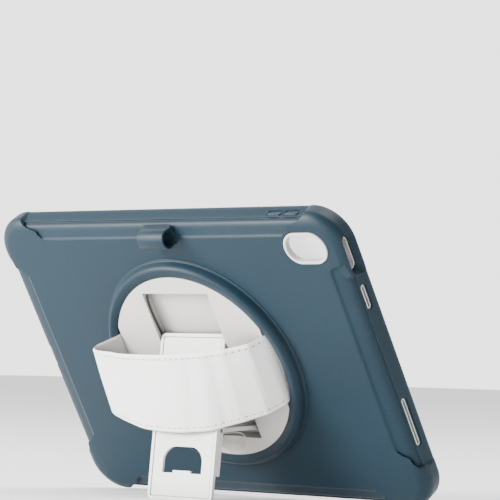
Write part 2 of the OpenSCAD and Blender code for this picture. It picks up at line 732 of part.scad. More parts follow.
module finger_hole() {
    arch_r = 9;
    tab_w = 13.6;
    tab_h = 1.5;
    translate([0, -(stand_l - pin_inset) + finger_up, -10]) linear_extrude(30) difference() {
        union() {
            translate([-finger_w / 2, 0]) square([finger_w, finger_h - arch_r]);
            translate([-finger_w / 2 + arch_r, 0]) square([finger_w - 2 * arch_r, finger_h]);
            for (sx = [-1, 1]) translate([sx * (finger_w / 2 - arch_r), finger_h - arch_r]) circle(arch_r);
        }
        translate([-finger_w, -2 * arch_r]) square([2 * finger_w, 2 * arch_r]);
        translate([-tab_w / 2, -1]) square([tab_w, tab_h + 1]);
    }
}

panel_in = 2.0;
panel_t = 1.0;
module stand_frame() {
    top_y = pin_inset;
    low_y = -(stand_l - pin_inset);
    face_z = pin_drop;
    wall = 1.8;
    eye_r = 2.1;
    color(pale_grey) stand_up() on_stand() difference() {
        union() {
            translate([0, (top_y + low_y) / 2, face_z - plate_t]) linear_extrude(plate_t)
                rounded_rect(stand_w, stand_l, 3);
            for (sx = [-1, 1]) translate([sx * (stand_w / 2 - wall / 2) - wall / 2, low_y + flange_end,
                face_z - flange_h])
                cube([wall, -low_y - flange_end, flange_h - plate_t + 1]);
            for (sx = [-1, 1]) translate([sx * (stand_w / 2 - wall / 2) - wall / 2, -1, 0])
                cube([wall, 1 + eye_r, face_z - plate_t + 1]);
            for (sx = [-1, 1]) translate([sx * (stand_w / 2 - wall / 2), 0, 0]) rotate([0, 90, 0])
                cylinder(h = wall, r = eye_r, center = true, $fn = 48);
        }
        translate([0, (top_y + low_y) / 2, face_z - panel_t]) linear_extrude(5)
            rounded_rect(stand_w - 2 * panel_in, stand_l - 2 * panel_in, 1);
        finger_hole();
        x_pin(stand_w + 10, pin_r + bore_slack, 0, 0);
        x_pin(stand_w + 10, pin_r + pin_gap, -pin_spacing, 0);
    }
}

module stand_panel() {
    top_y = pin_inset;
    low_y = -(stand_l - pin_inset);
    gap = 0.45;
    color(pale_grey) stand_up() on_stand() difference() {
        translate([0, (top_y + low_y) / 2, pin_drop - panel_t + 0.01]) linear_extrude(panel_t - 0.31)
            rounded_rect(stand_w - 2 * panel_in - 2 * gap, stand_l - 2 * panel_in - 2 * gap, 1);
        finger_hole();
    }
}

// Two short pins at the stand's upper end, one in each track
module guide_pins() {
    inside = 4;
    color(steel) stand_up() on_stand() for (sx = [-1, 1])
        translate([sx * (stand_w / 2 - inside / 2 + 1.4), 0, 0]) rotate([0, 90, 0])
            cylinder(h = inside + 2.2, r = pin_r, center = true, $fn = 32);
}

arm_gap = 0.5;
module prop_arm() {
    inner_w = stand_w - 2 * 1.8 - 2 * arm_gap;
    rail = 7;
    eye_r = 1.75;
    arm_t = 2.4;
    color(pale_grey) stand_up() on_arm() difference() {
        union() {
            for (sx = [-1, 1]) translate([sx * (inner_w / 2 - rail / 2) - rail / 2, 0, -arm_t / 2])
                cube([rail, arm_l, arm_t]);
            for (y = [0, arm_l], sx = [-1, 1]) translate([sx * (inner_w / 2 - rail / 2), y, 0])
                rotate([0, 90, 0])
                cylinder(h = rail, r = eye_r, center = true, $fn = 48);
            translate([-inner_w / 2, arm_l * 0.35, -arm_t / 2]) cube([inner_w, arm_l * 0.38, arm_t]);
        }
        for (y = [0, arm_l]) x_pin(stand_w + 10, pin_r + pin_gap, y, 0);
    }
}

module arm_pivot_pin() { color(steel) stand_up() x_pin(pocket_w + 1.2, pin_r, arm_pivot_y, pin_z); }

module stand_pivot_pin() {
    m = mid_pin(stand_angle);
    color(steel) stand_up() x_pin(stand_w - 0.4, pin_r, m[0], m[1]);
}

back_cover();
inner_shell();
camera_bezel();
ring_surround();
turntable_retainer();
retainer_screws();
pen_loop();
volume_up_button();
volume_down_button();
front_frame();
screen_film();
film_tape();
turntable_disc();
turntable_base();
base_screws();
hand_strap();
strap_clamp_bars();
strap_rivets();
prop_arm();
arm_pivot_pin();
stand_pivot_pin();
stand_frame();
stand_panel();
guide_pins();
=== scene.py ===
import json
import math
import random

import bmesh
import bpy
import numpy as np
from mathutils import Matrix, Vector


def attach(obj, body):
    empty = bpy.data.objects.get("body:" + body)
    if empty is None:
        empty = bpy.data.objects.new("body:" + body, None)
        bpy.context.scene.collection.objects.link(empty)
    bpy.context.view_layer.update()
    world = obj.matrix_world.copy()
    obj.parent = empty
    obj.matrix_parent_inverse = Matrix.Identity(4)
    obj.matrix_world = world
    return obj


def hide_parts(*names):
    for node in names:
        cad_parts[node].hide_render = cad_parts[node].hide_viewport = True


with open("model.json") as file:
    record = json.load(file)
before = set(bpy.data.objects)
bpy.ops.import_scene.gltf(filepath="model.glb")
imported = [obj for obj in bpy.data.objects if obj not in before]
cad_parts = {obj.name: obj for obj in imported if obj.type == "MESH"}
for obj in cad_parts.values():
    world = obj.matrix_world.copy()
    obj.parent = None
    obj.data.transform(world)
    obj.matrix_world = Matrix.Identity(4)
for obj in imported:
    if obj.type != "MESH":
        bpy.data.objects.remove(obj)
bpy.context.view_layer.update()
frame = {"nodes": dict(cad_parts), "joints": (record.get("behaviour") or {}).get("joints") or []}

MM = 0.001

# ---- The case's own axes, in the row frame ----
turn = next(j for j in frame["joints"] if j["name"] == "turntable_turn")
OUT = Vector(turn["axis"]).normalized()
ALONG = Vector((1, 0, 0))
UP = OUT.cross(ALONG)
CASE = Matrix((ALONG, UP, OUT)).transposed().to_4x4()
CASE.translation = Vector(turn["pos_m"])
TO_CASE = CASE.inverted()


def case_box(node):
    """Lowest and highest corner of a CAD node along the case's own axes, in millimetres."""
    mesh = frame["nodes"][node].data
    points = np.array([(TO_CASE @ v.co)[:] for v in mesh.vertices]) / MM
    return Vector(points.min(0)), Vector(points.max(0))


COVER_LOW, COVER_HIGH = case_box("back_cover")
HALF_L = COVER_HIGH.x
HALF_S = COVER_HIGH.y
FRONT_Z = COVER_LOW.z
CORNER_R = 22.0


# ---- Mesh helpers. Points are in millimetres in the case's own axes ----
SAME_POINT = 1e-4
# Steps in each round end of a slot's outline
PILL_ARC = 16


def piece(name, points, faces, matrix=None):
    """A linked mesh object, its points moved by the matrix if one is given."""
    mesh = bpy.data.meshes.new(name)
    mesh.from_pydata([tuple(p) for p in points], [], faces)
    mesh.validate()
    obj = bpy.data.objects.new(name, mesh)
    bpy.context.scene.collection.objects.link(obj)
    if matrix is not None:
        mesh.transform(matrix)
    return obj


def settle(obj, sharp):
    """Moves a mesh from case millimetres to the row frame, and shades it smooth up to an angle."""
    obj.data.transform(CASE @ Matrix.Scale(MM, 4))
    obj.data.polygons.foreach_set("use_smooth", [True] * len(obj.data.polygons))
    obj.data.set_sharp_from_angle(angle=math.radians(sharp))
    obj.data.update()


def recalc(obj):
    """Merges points that coincide and turns every face outward."""
    bm = bmesh.new()
    bm.from_mesh(obj.data)
    bmesh.ops.remove_doubles(bm, verts=bm.verts, dist=SAME_POINT)
    bmesh.ops.recalc_face_normals(bm, faces=bm.faces)
    bm.to_mesh(obj.data)
    bm.free()


def applied(obj):
    """Replaces an object's mesh by its evaluated one and drops the modifiers."""
    bpy.context.view_layer.update()
    graph = bpy.context.evaluated_depsgraph_get()
    mesh = bpy.data.meshes.new_from_object(obj.evaluated_get(graph))
    old = obj.data
    obj.modifiers.clear()
    obj.data = mesh
    mesh.name = obj.name
    bpy.data.meshes.remove(old)


def cut(obj, cutter):
    """Takes the cutter out of the object, and drops the cutter."""
    recalc(cutter)
    mod = obj.modifiers.new("cut", "BOOLEAN")
    mod.operation = "DIFFERENCE"
    mod.solver = "EXACT"
    mod.object = cutter
    applied(obj)
    bpy.data.objects.remove(cutter)


def join(name, objects):
    """One mesh object made of several, which are then removed."""
    bm = bmesh.new()
    for o in objects:
        bm.from_mesh(o.data)
        bpy.data.objects.remove(o)
    mesh = bpy.data.meshes.new(name)
    bm.to_mesh(mesh)
    bm.free()
    obj = bpy.data.objects.new(name, mesh)
    bpy.context.scene.collection.objects.link(obj)
    return obj


def ring_faces(rings, count, closed):
    """Faces between successive rings of count points each, with end faces unless the last meets the first."""
    faces = []
    last = rings if closed else rings - 1
    for i in range(last):
        a, b = i * count, ((i + 1) % rings) * count
        for k in range(count):
            n = (k + 1) % count
            faces.append((a + k, a + n, b + n, b + k))
    if not closed:
        faces.append(tuple(reversed(range(count))))
        faces.append(tuple(range((rings - 1) * count, rings * count)))
    return faces


def loft(name, rings, closed=False, matrix=None):
    points = [p for ring in rings for p in ring]
    return piece(name, points, ring_faces(len(rings), len(rings[0]), closed), matrix)


def smooth_line(points, steps):
    """Catmull-Rom line through the points, with steps samples per stretch."""
    pts = [Vector(p) for p in points]
    last = len(pts) - 1
    line = []
    for i in range(last):
        a, b, c, d = pts[max(i - 1, 0)], pts[i], pts[i + 1], pts[min(i + 2, last)]
        for k in range(steps):
            t = k / steps
            line.append(0.5 * (2 * b + (c - a) * t + (2 * a - 5 * b + 4 * c - d) * t * t
                               + (3 * b - a - 3 * c + d) * t ** 3))
    line.append(pts[-1])
    return line


def evenly(line, count):
    """count points at equal distances along a line, and the line's length."""
    step = [0.0]
    for a, b in zip(line, line[1:]):
        step.append(step[-1] + (b - a).length)
    out, k = [], 0
    for i in range(count):
        want = step[-1] * i / (count - 1)
        while k < len(line) - 2 and step[k + 1] < want:
            k += 1
        span = max(step[k + 1] - step[k], 1e-9)
        out.append(line[k].lerp(line[k + 1], (want - step[k]) / span))
    return out, step[-1]


def smoothstep(x):
    x = min(max(x, 0.0), 1.0)
    return x * x * (3 - 2 * x)


def pill(length, width, grow=0.0):
    """Outline of a slot with round ends, length along x."""
    r = width / 2 + grow
    half = length / 2 - width / 2
    points = []
    for side in (1, -1):
        for k in range(PILL_ARC + 1):
            a = math.radians(-90 + 180 * k / PILL_ARC)
            points.append((side * (half + r * math.cos(a)), side * r * math.sin(a)))
    return points


def stacked(outlines, heights):
    """Rings from outlines at heights, along local z."""
    return [[(x, y, z) for x, y in outline] for outline, z in zip(outlines, heights)]


# ---- Materials ----
def new_material(name):
    mat = bpy.data.materials.new(name)
    mat.use_nodes = True
    return mat, mat.node_tree, mat.node_tree.nodes["Principled BSDF"]


def add(tree, kind, **values):
    node = tree.nodes.new(kind)
    for key, value in values.items():
        if key in node.inputs:
            node.inputs[key].default_value = value
        else:
            setattr(node, key, value)
    return node


def noise(tree, scale, detail=3.0, rough=0.55):
    """A noise texture in object space. Its scale is in repeats per metre."""
    place = add(tree, "ShaderNodeTexCoord")
    tex = add(tree, "ShaderNodeTexNoise", Scale=scale, Detail=detail, Roughness=rough)
    tree.links.new(place.outputs["Object"], tex.inputs["Vector"])
    return tex


def ramp(tree, source, stops):
    node = add(tree, "ShaderNodeValToRGB")
    while len(node.color_ramp.elements) < len(stops):
        node.color_ramp.elements.new(0.5)
    for element, (at, colour) in zip(node.color_ramp.elements, stops):
        element.position = at
        element.color = (*colour, 1)
    tree.links.new(source, node.inputs["Fac"])
    return node.outputs["Color"]


def rough_range(tree, bsdf, source, low, high):
    node = add(tree, "ShaderNodeMapRange")
    node.inputs["To Min"].default_value = low
    node.inputs["To Max"].default_value = high
    tree.links.new(source, node.inputs["Value"])
    tree.links.new(node.outputs["Result"], bsdf.inputs["Roughness"])


def bumps(tree, bsdf, layers):
    """Chains bump nodes: each layer is (height output, strength, distance in metres)."""
    normal = None
    for source, strength, distance in layers:
        node = add(tree, "ShaderNodeBump", Strength=strength, Distance=distance)
        tree.links.new(source, node.inputs["Height"])
        if normal is not None:
            tree.links.new(normal, node.inputs["Normal"])
        normal = node.outputs["Normal"]
    tree.links.new(normal, bsdf.inputs["Normal"])


def shaded(colour, factor):
    return tuple(c * factor for c in colour)


def grey(value):
    return (value, value, value)


def painted_corner_shade(tree, bsdf, colour, distance, dark, open_at=0.85):
    """Darkens a colour where surfaces meet, as painted shade in corners and crevices; a spot at least open_at
    open keeps it whole.
    """
    near = add(tree, "ShaderNodeAmbientOcclusion", Distance=distance)
    near.samples = 6
    tone = ramp(tree, near.outputs["AO"], [(0.15, grey(dark)), (open_at, grey(1.0))])
    mix = add(tree, "ShaderNodeMixRGB", blend_type="MULTIPLY", Fac=1.0)
    tree.links.new(colour, mix.inputs["Color1"])
    tree.links.new(tone, mix.inputs["Color2"])
    tree.links.new(mix.outputs["Color"], bsdf.inputs["Base Color"])


def soft_cover_material():
    mat, tree, bsdf = new_material("soft_teal")
    base = (0.0034, 0.0178, 0.0300)
    cloud = noise(tree, 18, 3)
    grain = noise(tree, 2300, 3, 0.7)
    pebble = noise(tree, 850, 2, 0.6)
    mix = add(tree, "ShaderNodeMixRGB", blend_type="MULTIPLY", Fac=1.0)
    tree.links.new(ramp(tree, cloud.outputs["Fac"], [(0.3, shaded(base, 0.93)), (0.7, shaded(base, 1.08))]),
                   mix.inputs["Color1"])
    tree.links.new(ramp(tree, grain.outputs["Fac"], [(0.3, grey(0.84)), (0.7, grey(1.14))]),
                   mix.inputs["Color2"])
    speck = add(tree, "ShaderNodeMixRGB", blend_type="MULTIPLY", Fac=1.0)
    tree.links.new(mix.outputs["Color"], speck.inputs["Color1"])
    tree.links.new(ramp(tree, pebble.outputs["Fac"], [(0.3, grey(0.86)), (0.7, grey(1.13))]),
                   speck.inputs["Color2"])
    # Painted shade: the soft cover's colour is darkened in corners and crevices
    painted_corner_shade(tree, bsdf, speck.outputs["Color"], distance=0.004, dark=0.55)
    rough_range(tree, bsdf, cloud.outputs["Fac"], 0.44, 0.54)
    bsdf.inputs["Specular IOR Level"].default_value = 0.22
    bsdf.inputs["Sheen Weight"].default_value = 0.05
    bsdf.inputs["Sheen Roughness"].default_value = 0.5
    bumps(tree, bsdf, [(grain.outputs["Fac"], 0.22, 0.00012), (pebble.outputs["Fac"], 0.16, 0.00015)])
    return mat


def hard_shell_material(name, base, low, high):
    mat, tree, bsdf = new_material(name)
    cloud = noise(tree, 14, 3)
    grain = noise(tree, 3200, 2, 0.6)
    colour = ramp(tree, cloud.outputs["Fac"], [(0.3, shaded(base, 0.965)), (0.7, shaded(base, 1.02))])
    # Painted shade: the shell's colour is darkened in corners and crevices
    painted_corner_shade(tree, bsdf, colour, distance=0.018, dark=0.30, open_at=0.94)
    rough_range(tree, bsdf, cloud.outputs["Fac"], low, high)
    bsdf.inputs["Specular IOR Level"].default_value = 0.45
    bumps(tree, bsdf, [(grain.outputs["Fac"], 0.10, 0.00008)])
    return mat


def leather_material():
    mat, tree, bsdf = new_material("strap_leather")
    base = (0.925, 0.91, 0.89)
    cloud = noise(tree, 30, 4)
    place = add(tree, "ShaderNodeTexCoord")
    cells = add(tree, "ShaderNodeTexVoronoi", Scale=1500.0)
    cells.feature = "DISTANCE_TO_EDGE"
    tree.links.new(place.outputs["Object"], cells.inputs["Vector"])
    fine = noise(tree, 2600, 3, 0.6)
    wave = noise(tree, 240, 3, 0.5)
    tree.links.new(ramp(tree, cloud.outputs["Fac"], [(0.3, shaded(base, 0.96)), (0.7, shaded(base, 1.02))]),
                   bsdf.inputs["Base Color"])
    rough_range(tree, bsdf, cloud.outputs["Fac"], 0.40, 0.55)
    bsdf.inputs["Specular IOR Level"].default_value = 0.4
    bumps(tree, bsdf, [(wave.outputs["Fac"], 0.10, 0.0004), (cells.outputs["Distance"], 0.20, 0.00010),
                       (fine.outputs["Fac"], 0.10, 0.00006)])
    return mat


def lining_material():
    """Woven lining on the strap's inner side."""
    mat, tree, bsdf = new_material("strap_lining")
    place = add(tree, "ShaderNodeTexCoord")
    heights = []
    for turn_z in (0.0, math.pi / 2):
        spin = add(tree, "ShaderNodeMapping")
        spin.inputs["Rotation"].default_value[2] = turn_z
        wave = add(tree, "ShaderNodeTexWave", Scale=900.0, Distortion=0.6)
        tree.links.new(place.outputs["Object"], spin.inputs["Vector"])
        tree.links.new(spin.outputs["Vector"], wave.inputs["Vector"])
        heights.append(wave.outputs["Fac"])
    both = add(tree, "ShaderNodeMath", operation="MULTIPLY")
    tree.links.new(heights[0], both.inputs[0])
    tree.links.new(heights[1], both.inputs[1])
    base = (0.62, 0.60, 0.58)
    tree.links.new(ramp(tree, both.outputs[0], [(0.0, shaded(base, 0.85)), (1.0, shaded(base, 1.05))]),
                   bsdf.inputs["Base Color"])
    bsdf.inputs["Roughness"].default_value = 0.85
    bumps(tree, bsdf, [(both.outputs[0], 0.3, 0.00012)])
    return mat


def thread_material(name, base):
    mat, tree, bsdf = new_material(name)
    twist = add(tree, "ShaderNodeTexWave", Scale=1400.0, Distortion=1.5)
    place = add(tree, "ShaderNodeTexCoord")
    tree.links.new(place.outputs["Object"], twist.inputs["Vector"])
    tree.links.new(ramp(tree, twist.outputs["Fac"], [(0.1, shaded(base, 0.8)), (0.9, base)]),
                   bsdf.inputs["Base Color"])
    bsdf.inputs["Roughness"].default_value = 0.6
    bumps(tree, bsdf, [(twist.outputs["Fac"], 0.4, 0.0001)])
    return mat


def steel_material():
    mat, tree, bsdf = new_material("turned_steel")
    streak = noise(tree, 1200, 4, 0.7)
    tree.links.new(ramp(tree, streak.outputs["Fac"], [(0.3, (0.42, 0.42, 0.43)), (0.7, (0.6, 0.6, 0.61))]),
                   bsdf.inputs["Base Color"])
    bsdf.inputs["Metallic"].default_value = 1.0
    rough_range(tree, bsdf, streak.outputs["Fac"], 0.22, 0.42)
    bumps(tree, bsdf, [(streak.outputs["Fac"], 0.1, 0.00005)])
    return mat


def film_material():
    mat, tree, bsdf = new_material("clear_film")
    haze = noise(tree, 9, 2)
    tree.links.new(ramp(tree, haze.outputs["Fac"], [(0.3, (0.93, 0.96, 0.97)), (0.7, (0.97, 0.98, 0.99))]),
                   bsdf.inputs["Base Color"])
    rough_range(tree, bsdf, haze.outputs["Fac"], 0.03, 0.07)
    bsdf.inputs["IOR"].default_value = 1.45
    bsdf.inputs["Alpha"].default_value = 0.22
    bsdf.inputs["Coat Weight"].default_value = 0.6
    bsdf.inputs["Coat Roughness"].default_value = 0.03
    mat.surface_render_method = "BLENDED"
    return mat


def tape_material():
    mat, tree, bsdf = new_material("black_tape")
    grain = noise(tree, 1500, 3)
    stops = [(0.3, (0.012, 0.012, 0.013)), (0.7, (0.03, 0.03, 0.032))]
    tree.links.new(ramp(tree, grain.outputs["Fac"], stops), bsdf.inputs["Base Color"])
    rough_range(tree, bsdf, grain.outputs["Fac"], 0.5, 0.7)
    bumps(tree, bsdf, [(grain.outputs["Fac"], 0.2, 0.0001)])
    return mat


TEAL = soft_cover_material()
SHELL = hard_shell_material("pale_shell", (0.60, 0.585, 0.555), 0.38, 0.50)
STAND = hard_shell_material("pale_stand", (0.80, 0.785, 0.75), 0.36, 0.46)
LEATHER = leather_material()
LINING = lining_material()
THREAD = thread_material("strap_thread", (0.80, 0.785, 0.76))
# Painted shade: this near-black colour stands in for the shade inside the strap's needle holes
HOLE_SHADE = thread_material("needle_hole_shade", (0.035, 0.033, 0.031))
STEEL = steel_material()
FILM = film_material()
TAPE = tape_material()


def dress(obj, *materials):
    obj.data.materials.clear()
    for m in materials:
        obj.data.materials.append(m)


def put(obj, body, slot, *nodes):
    """Hands a mesh to a body and hides the CAD nodes it stands for, as their skin; the slot is not used."""
    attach(obj, body)
    if nodes:
        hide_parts(*nodes)


# ---- Soft back cover ----
FLAT_IN = 17.5
COVER_WALL = 4.6
COVER_BACK = 2.0
CHAMFER = 2.6
LIP_R = 2.0

# Grip recesses: half length at the inner line, how much longer at the edge, and how far in they reach
RECESS = {"long": (85.0, 24.0, 13.0), "short": (55.0, 16.0, 14.8)}
RECESS_SHIFT = 2.0
RECESS_LIP = 0.3
# How long the step at a recess's end is
RECESS_STEP = 1.8
# The recess's end beside the power button's bar: its half length at the edge, how much longer it gets
# further in, from where and over what width, and how much its inner corner is rounded off, from where on
BAR_END = 54.5
BAR_FLARE = 9.0
BAR_FLARE_FROM = 5.5
BAR_FLARE_WIDTH = 4.5
BAR_ROUND = 4.0
BAR_ROUND_FROM = 10.0
# Distance between stations round the case near the recesses' ends and elsewhere, how far before an end
# they turn dense, and the degrees between stations in a corner
FINE_STEP = 0.6
COARSE_STEP = 3.0
DENSE_BEFORE = 7
CORNER_TURN = 3


def corner_profile():
    """The bumper's outline, [in from the edge, height], from the flat back to the inner floor."""
    back = [(FLAT_IN, 0.0), (15.5, 0.0), (13.5, 0.0), (11.5, -0.02), (9.8, -0.10)]
    edge = [(9.0 * (1 - math.sin(a)), -6.4 * (1 - math.cos(a)))
            for a in (math.radians(d) for d in range(14, 91, 4))]
    side = [(0.0, -7.2), (0.0, -8.4), (0.0, -9.8), (0.0, -11.2)]
    return back + edge + side + lip_points(0.0)


def recess_profile(depth):
    """The grip recess's outline, with as many points as the bumper's."""
    back = [(FLAT_IN, 0.0), (depth + 0.7, 0.0), (depth + 0.3, -0.05), (depth - 0.15, -0.22),
            (depth - 0.6, -0.5)]
    channel = [(depth - 1.05, -0.78)]
    channel += [(depth - 1.5 + (8.4 - depth + 1.5) * k / 4, -1.0 - 0.72 * k / 4) for k in range(5)]
    line = channel + [(7.4, -1.94), (6.5, -2.22), (5.8, -2.55), (5.2, -2.95), (4.7, -3.42), (4.3, -3.95),
                      (4.0, -4.5), (3.80, -4.92), (3.62, -5.08), (3.38, -5.02), (3.10, -4.80), (2.80, -4.70),
                      (2.52, -4.84), (2.34, -5.30)]
    side = [(2.1, -6.6), (1.5, -8.1), (0.9, -9.65), (RECESS_LIP, -11.2)]
    return back + line + side + lip_points(RECESS_LIP)


def lip_points(start):
    """From the side wall round the front lip and back along the inner wall to the inner floor."""
    out = []
    for k in range(1, 7):
        a = math.radians(15 * k)
        out.append((start + LIP_R * (1 - math.cos(a)), FRONT_Z + LIP_R * (1 - math.sin(a))))
    out += [(COVER_WALL - 0.5, FRONT_Z), (COVER_WALL - 0.15, FRONT_Z + 0.15), (COVER_WALL, FRONT_Z + 0.5)]
    out += [(COVER_WALL, -10.0), (COVER_WALL, -COVER_BACK - CHAMFER)]
    out += [(COVER_WALL + CHAMFER, -COVER_BACK), (FLAT_IN, -COVER_BACK)]
    return out


def perimeter():
    """Stations round the case: (edge point, inward normal, side or "corner", distance from its middle)."""
    stations = []
    half = {"long": HALF_L - CORNER_R, "short": HALF_S - CORNER_R}
    for quarter in range(4):
        side = "short" if quarter % 2 == 0 else "long"
        reach = HALF_L if side == "short" else HALF_S
        turn_z = Matrix.Rotation(math.radians(90 * quarter), 3, "Z")
        normal = turn_z @ Vector((-1, 0, 0))
        dense = RECESS[side][0] - DENSE_BEFORE
        run = []
        x = -half[side]
        while x < half[side] - 1e-6:
            run.append(x)
            x += FINE_STEP if abs(x) > dense or abs(x + FINE_STEP) > dense else COARSE_STEP
        for along in run:
            shift = RECESS_SHIFT if side == "short" else 0.0
            stations.append((turn_z @ Vector((reach, along, 0)), normal, side,
                             abs(along - shift if quarter == 0 else along + shift)))
        centre = turn_z @ Vector((reach - CORNER_R, half[side], 0))
        for k in range(90 // CORNER_TURN):
            spin = Matrix.Rotation(math.radians(CORNER_TURN * k), 3, "Z")
            n = spin @ normal
            stations.append((centre - n * CORNER_R, n, side if k == 0 else "corner", half[side]))
    return stations


def bar_end(inward, depth):
    """Half length of the recess beside the power button's bar, at a distance in from the edge."""
    share = min(max((inward - BAR_ROUND_FROM) / (depth + 0.5 - BAR_ROUND_FROM), 0.0), 1.0)
    flare = BAR_FLARE * smoothstep((inward - BAR_FLARE_FROM) / BAR_FLARE_WIDTH)
    return BAR_END + flare - BAR_ROUND * (1 - math.sqrt(1 - share * share))


def cover_body():
    """The bumper swept round the case, and shaped towards the grip recess where a side has one."""
    bumper = corner_profile()
    recess = {name: recess_profile(values[2]) for name, values in RECESS.items()}
    rings = []
    for edge, normal, side, along in perimeter():
        ring = []
        for (i0, z0), (i1, z1) in zip(bumper, recess.get(side, bumper)):
            w = 0.0
            if side != "corner":
                inner, flare, depth = RECESS[side]
                share = min(max(i1 / (depth + 0.5), 0.0), 1.0)
                reach = inner + flare * math.sqrt(1 - share * share)
                if side == "short" and edge.x > 0 and edge.y > 0:
                    reach = bar_end(i1, depth)
                w = smoothstep((reach - along) / RECESS_STEP + 0.5)
            i, z = i0 + (i1 - i0) * w, z0 + (z1 - z0) * w
            p = edge + normal * i
            ring.append((p.x, p.y, z))
        rings.append(ring)
    count = len(rings[0])
    points = [p for ring in rings for p in ring]
    faces = []
    for s in range(len(rings)):
        a, b = s * count, ((s + 1) % len(rings)) * count
        for k in range(count - 1):
            faces.append((a + k, a + k + 1, b + k + 1, b + k))
    faces.append(tuple(s * count for s in range(len(rings))))
    faces.append(tuple(s * count + count - 1 for s in reversed(range(len(rings)))))
    obj = piece("back_cover_skin", points, faces)
    recalc(obj)
    return obj


# Degrees of turn in a slot's rounded mouth, and how far a cutter stands past the surface
MOUTH_TURNS = [math.radians(d) for d in (30, 55, 75, 90)]
CUT_PAST = 3.0


def funnel(length, width, mouth, depth, flare, matrix):
    """A slot-shaped cutter: straight up to its mouth, and rounded out by the flare up to the surface."""
    grows = [0.0, 0.0] + [flare * (1 - math.cos(a)) for a in MOUTH_TURNS] + [flare + 0.4]
    heights = [-depth, -mouth] + [-mouth + mouth * math.sin(a) for a in MOUTH_TURNS] + [CUT_PAST]
    outlines = [pill(length, width, g) for g in grows]
    return loft("cutter", stacked(outlines, heights), matrix=matrix)


def side_matrix(side, along, z, reach):
    """Local x along the short side, y towards the back, z out of the side wall."""
    m = Matrix(((0, 0, side), (side, 0, 0), (0, 1, 0))).to_4x4()
    m.translation = Vector((side * reach, along, z))
    return m


def top_matrix(along, z, reach):
    """Local x against the upper long side, y towards the back, z out of the side wall."""
    m = Matrix(((-1, 0, 0), (0, 0, 1), (0, 1, 0))).to_4x4()
    m.translation = Vector((along, reach, z))
    return m


WINDOW_LOW, WINDOW_HIGH = case_box("camera_bezel")
WINDOW_AT = (WINDOW_LOW + WINDOW_HIGH) / 2
WINDOW_L = WINDOW_HIGH.x - WINDOW_LOW.x
WINDOW_S = WINDOW_HIGH.y - WINDOW_LOW.y
BUTTONS = {name: case_box(name) for name in ("volume_up_button", "volume_down_button")}
SLOT_Z = (BUTTONS["volume_up_button"][0].z + BUTTONS["volume_up_button"][1].z) / 2
SLOT_IN = 2.0
# Slots in the short sides: side, centre along it, length, height, how far in its bar is, how far it widens
SLOTS = [(1, 70.0, 20.4, 6.8, 4.4, 4.0),
         (1, 42.0, 15.3, 3.6, SLOT_IN, 0.3),
         (1, -40.3, 31.3, 3.6, SLOT_IN, 0.3),
         (-1, 0.0, 15.0, 7.0, 3.4, 1.8),
         (-1, 42.0, 15.3, 3.6, SLOT_IN, 0.3),
         (-1, -42.0, 15.3, 3.6, SLOT_IN, 0.3)]
# A slot that widens by more than the first is cut with a scoop, by less than the second from its bar's face
SCOOP_FLARE = 3
BAR_FACE_FLARE = 1
LOOP_LOW, LOOP_HIGH = case_box("pen_loop")
PEN_Y = (LOOP_LOW.y + LOOP_HIGH.y) / 2
RING_LOW, RING_HIGH = case_box("ring_surround")
RING_OUT = RING_HIGH.x


def scoop(side, along, length, height, bar_in):
    """Cutter of the wide scoop outside the power button's bar, which opens towards the front."""
    # How far in, and how much wider there at each end, to the back and to the front
    levels = [(9.0, 0.0, 0.0, 0.0), (bar_in - 0.1, 0.0, 0.0, 0.0), (bar_in - 0.5, 0.4, 0.15, 0.3),
              (1.6, 2.6, 0.7, 1.7), (0.2, 4.2, 1.3, 2.5), (-3.0, 6.6, 2.0, 3.2)]
    lean = 0.35
    rings = []
    for depth, ends, back, front in levels:
        w = height + back + front
        off = (back - front) / 2
        rings.append([(x - lean * ends, y + off, -depth) for x, y in pill(length + 2 * ends, w)])
    return loft("cutter", rings, matrix=side_matrix(side, along, SLOT_Z, HALF_L))


def back_cover():
    obj = cover_body()
    cutters = [funnel(WINDOW_L + 0.3, WINDOW_S + 0.3, mouth=0.7, depth=6.0, flare=0.6,
                      matrix=Matrix.Translation((WINDOW_AT.x, WINDOW_AT.y, 0)))]
    for side, along, length, height, bar_in, flare in SLOTS:
        if flare > SCOOP_FLARE:
            cutters.append(scoop(side, along, length, height, bar_in))
            continue
        from_bar = flare < BAR_FACE_FLARE
        mouth = 0.35 if from_bar else bar_in - 0.2
        reach = HALF_L - bar_in if from_bar else HALF_L
        cutters.append(funnel(length, height, mouth, depth=9.0, flare=flare,
                              matrix=side_matrix(side, along, SLOT_Z, reach)))
    for low, high in BUTTONS.values():
        cutters.append(funnel(high.x - low.x - 0.5, 4.1, mouth=0.3, depth=8.0, flare=0.2,
                              matrix=top_matrix((low.x + high.x) / 2, SLOT_Z, HALF_S - SLOT_IN)))
    hole_r = RING_OUT - 4.0
    outline = [(hole_r * math.cos(math.radians(a)), hole_r * math.sin(math.radians(a)))
               for a in range(0, 360, 3)]
    cutters.append(loft("cutter", stacked([outline, outline], [-5.0, CUT_PAST])))
    for c in cutters:
        recalc(c)
    cut(obj, join("cutter", cutters))
    settle(obj, 38)
    weighted(obj)
    dress(obj, TEAL)
    put(obj, "shell", "soft_cover", "back_cover")


def weighted(obj):
    mod = obj.modifiers.new("even_normals", "WEIGHTED_NORMAL")
    mod.keep_sharp = True
    mod.weight = 60


# ---- Ring round the turntable ----
def lathe(name, outline, count=192):
    """Turns a closed outline, [radius, height], about the case's out axis."""
    rings = []
    for k in range(count):
        a = 2 * math.pi * k / count
        rings.append([(r * math.cos(a), r * math.sin(a), z) for r, z in outline])
    return loft(name, rings, closed=True)


